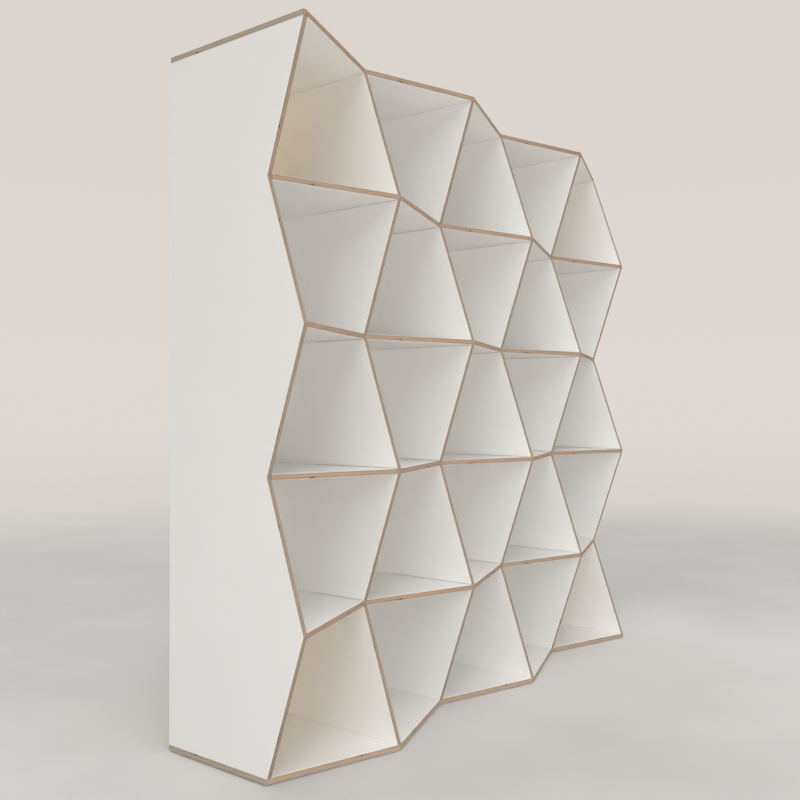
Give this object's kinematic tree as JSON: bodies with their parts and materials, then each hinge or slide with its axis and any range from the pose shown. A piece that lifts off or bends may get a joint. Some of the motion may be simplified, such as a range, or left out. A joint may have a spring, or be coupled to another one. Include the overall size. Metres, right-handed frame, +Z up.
{
  "type": "bookcase",
  "caption": "Free-standing open bookcase: a square grid of white laminated plywood boards with exposed ply edges, whose crossings stand alternately forward and back for a faceted zigzag front.",
  "frame": {"origin": "on the floor under the middle of the outer box: midway between the outer faces of the sides, and midway between the back edges and the crossings that stand forward", "axes": "+Z up; +X to the right of someone facing the open front; the open front faces -Y and the back edges face +Y"},
  "size_m": [1.6562, 0.44, 1.6669],
  "materials": {
    "laminated_ply": "satin white laminate on both faces of birch plywood, with bare sanded ply edges",
    "white_backing": "satin white melamine on thin fibreboard",
    "birch_ply": "clear varnished birch plywood",
    "beech": "sanded",
    "zinc_steel": "zinc plated",
    "nylon": "matte"
  },
  "bodies": {
    "root": {"left_side": "laminated_ply", "right_side": "laminated_ply", "top_board": "laminated_ply", "bottom_board": "laminated_ply", "shelf_1": "laminated_ply", "shelf_2": "laminated_ply", "shelf_3": "laminated_ply", "shelf_4": "laminated_ply", "divider_1": "laminated_ply", "divider_2": "laminated_ply", "divider_3": "laminated_ply", "divider_4": "laminated_ply", "back_bottom_left": "birch_ply", "back_bottom_middle": "white_backing", "back_bottom_right": "birch_ply", "back_row_2": "white_backing", "back_row_3": "white_backing", "back_row_4": "white_backing", "back_top_left": "birch_ply", "back_top_middle": "white_backing", "back_top_right": "birch_ply", "dowel_1_front": "beech", "dowel_1_back": "beech", "dowel_2_front": "beech", "dowel_2_back": "beech", "dowel_3_front": "beech", "dowel_3_back": "beech", "dowel_4_front": "beech", "dowel_4_back": "beech", "dowel_5_front": "beech", "dowel_5_back": "beech", "dowel_6_front": "beech", "dowel_6_back": "beech", "screw_1_front": "zinc_steel", "screw_1_back": "zinc_steel", "screw_2_front": "zinc_steel", "screw_2_back": "zinc_steel", "screw_3_front": "zinc_steel", "screw_3_back": "zinc_steel", "screw_4_front": "zinc_steel", "screw_4_back": "zinc_steel", "screw_5_front": "zinc_steel", "screw_5_back": "zinc_steel", "screw_6_front": "zinc_steel", "screw_6_back": "zinc_steel", "glide_1_front": "nylon", "glide_1_back": "nylon", "glide_2_front": "nylon", "glide_2_back": "nylon", "glide_3_front": "nylon", "glide_3_back": "nylon", "glide_4_front": "nylon", "glide_4_back": "nylon", "glide_5_front": "nylon", "glide_5_back": "nylon", "glide_6_front": "nylon", "glide_6_back": "nylon"}
  },
  "joints": []
}
